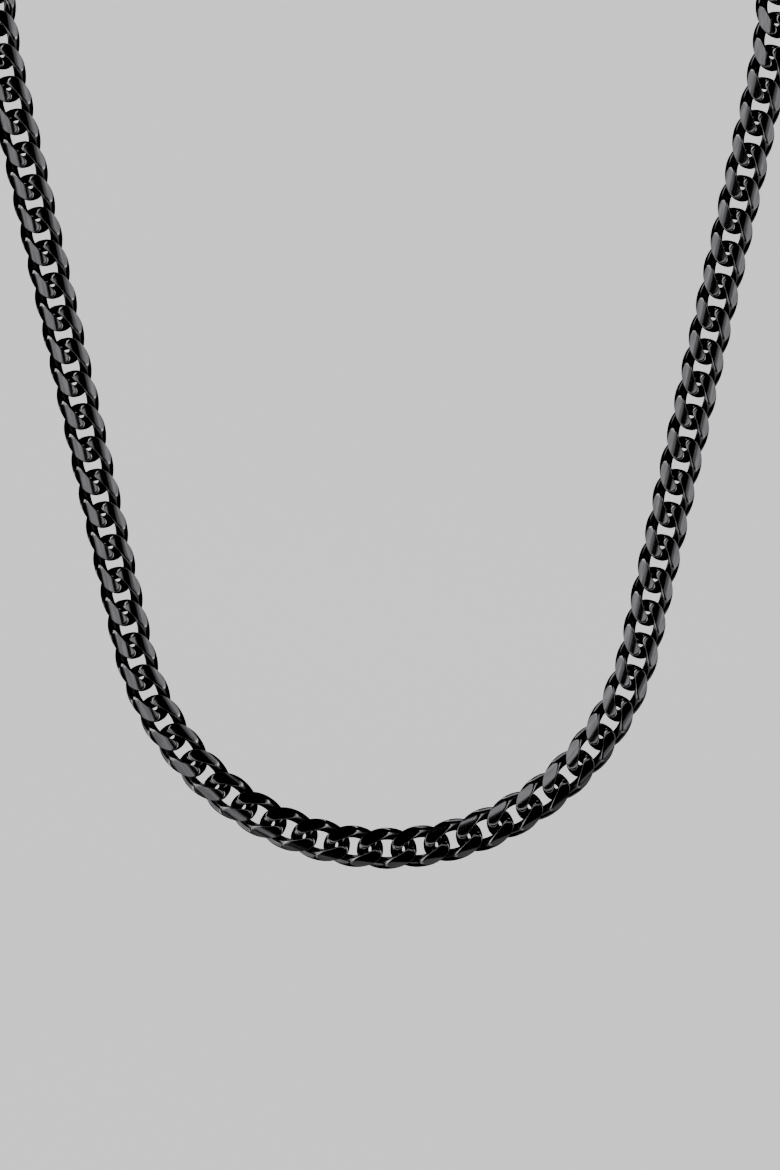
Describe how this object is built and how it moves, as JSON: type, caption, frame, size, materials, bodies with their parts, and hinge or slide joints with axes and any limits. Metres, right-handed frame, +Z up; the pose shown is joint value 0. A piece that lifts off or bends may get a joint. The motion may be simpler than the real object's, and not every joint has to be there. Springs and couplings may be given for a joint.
{
  "type": "cuban link neck chain",
  "caption": "Twisted, ground-faced cuban link neck chain in black plated steel: a whole loop, shown as worn, closed at the nape by a plain clasp.",
  "frame": {"origin": "middle of the loop at the nape, in the middle of the clasp, where the worn chain sits on the back of the neck", "axes": "+Z up, -Y to the front, where the lowest link hangs, +X to the chain's own left, which is the right of the picture"},
  "size_m": [0.1692, 0.1209, 0.2198],
  "materials": {
    "black_plating": "black plated and polished stainless steel, with two ground faces"
  },
  "bodies": {
    "root": {"chain_left": "black_plating", "chain_right": "black_plating", "ring_left": "black_plating", "ring_right": "black_plating", "clasp": "black_plating"}
  },
  "joints": []
}
